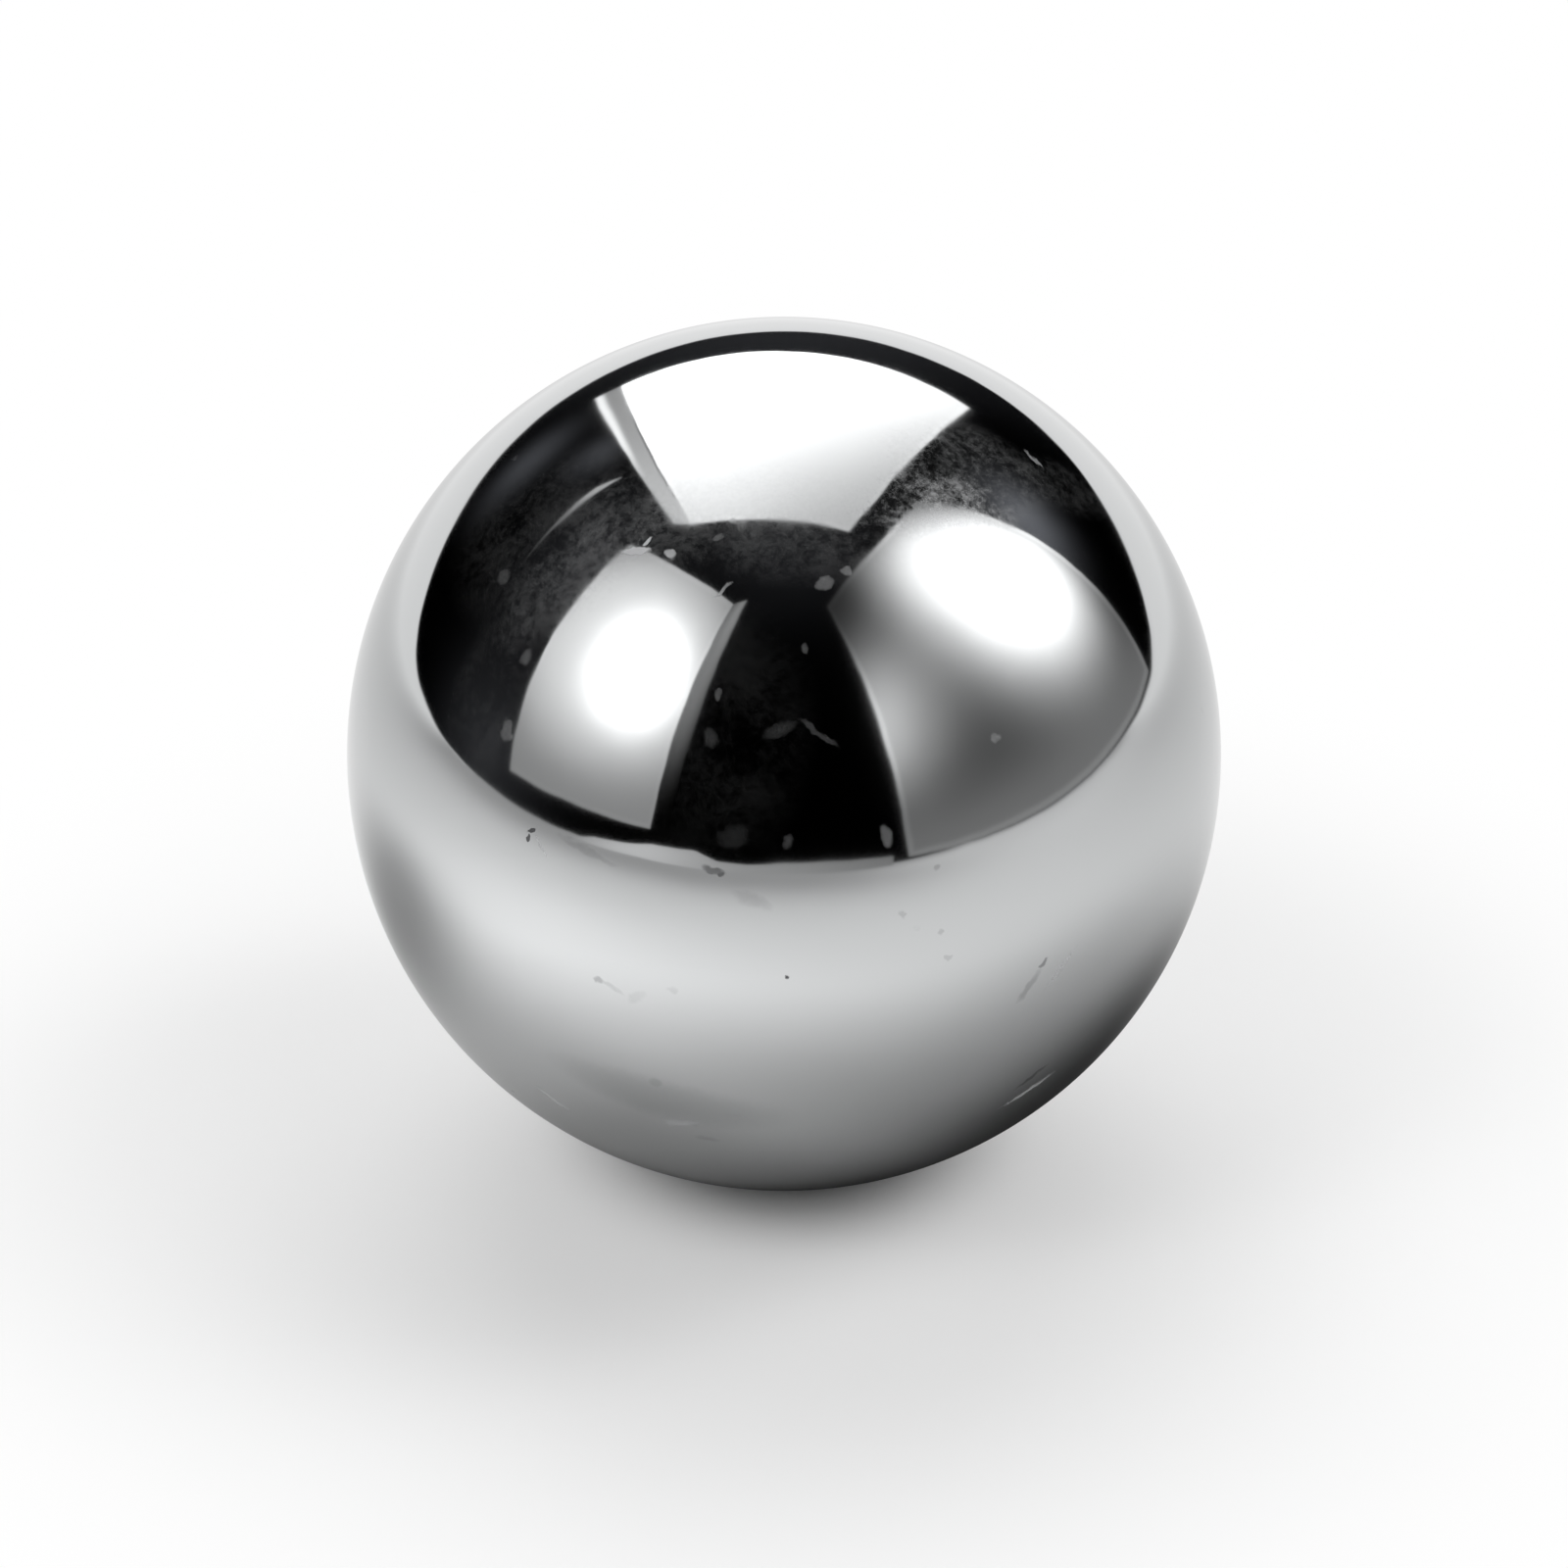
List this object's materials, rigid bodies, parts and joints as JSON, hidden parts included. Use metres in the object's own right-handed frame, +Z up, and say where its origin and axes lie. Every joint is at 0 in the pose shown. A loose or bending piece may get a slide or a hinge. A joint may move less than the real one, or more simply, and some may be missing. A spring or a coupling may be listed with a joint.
{
  "type": "steel ball",
  "caption": "Solid polished steel ball, a true sphere of bearing grade with a mirror finish and fine handling marks.",
  "frame": {"origin": "centre of the ball", "axes": "+Z up, through the centre and opposite to the point that the ball is held at or lies on; the ball is the same about every axis"},
  "size_m": [0.0254, 0.0254, 0.0254],
  "materials": {
    "polished_steel": "polished"
  },
  "bodies": {
    "root": {"ball": "polished_steel"}
  },
  "joints": []
}
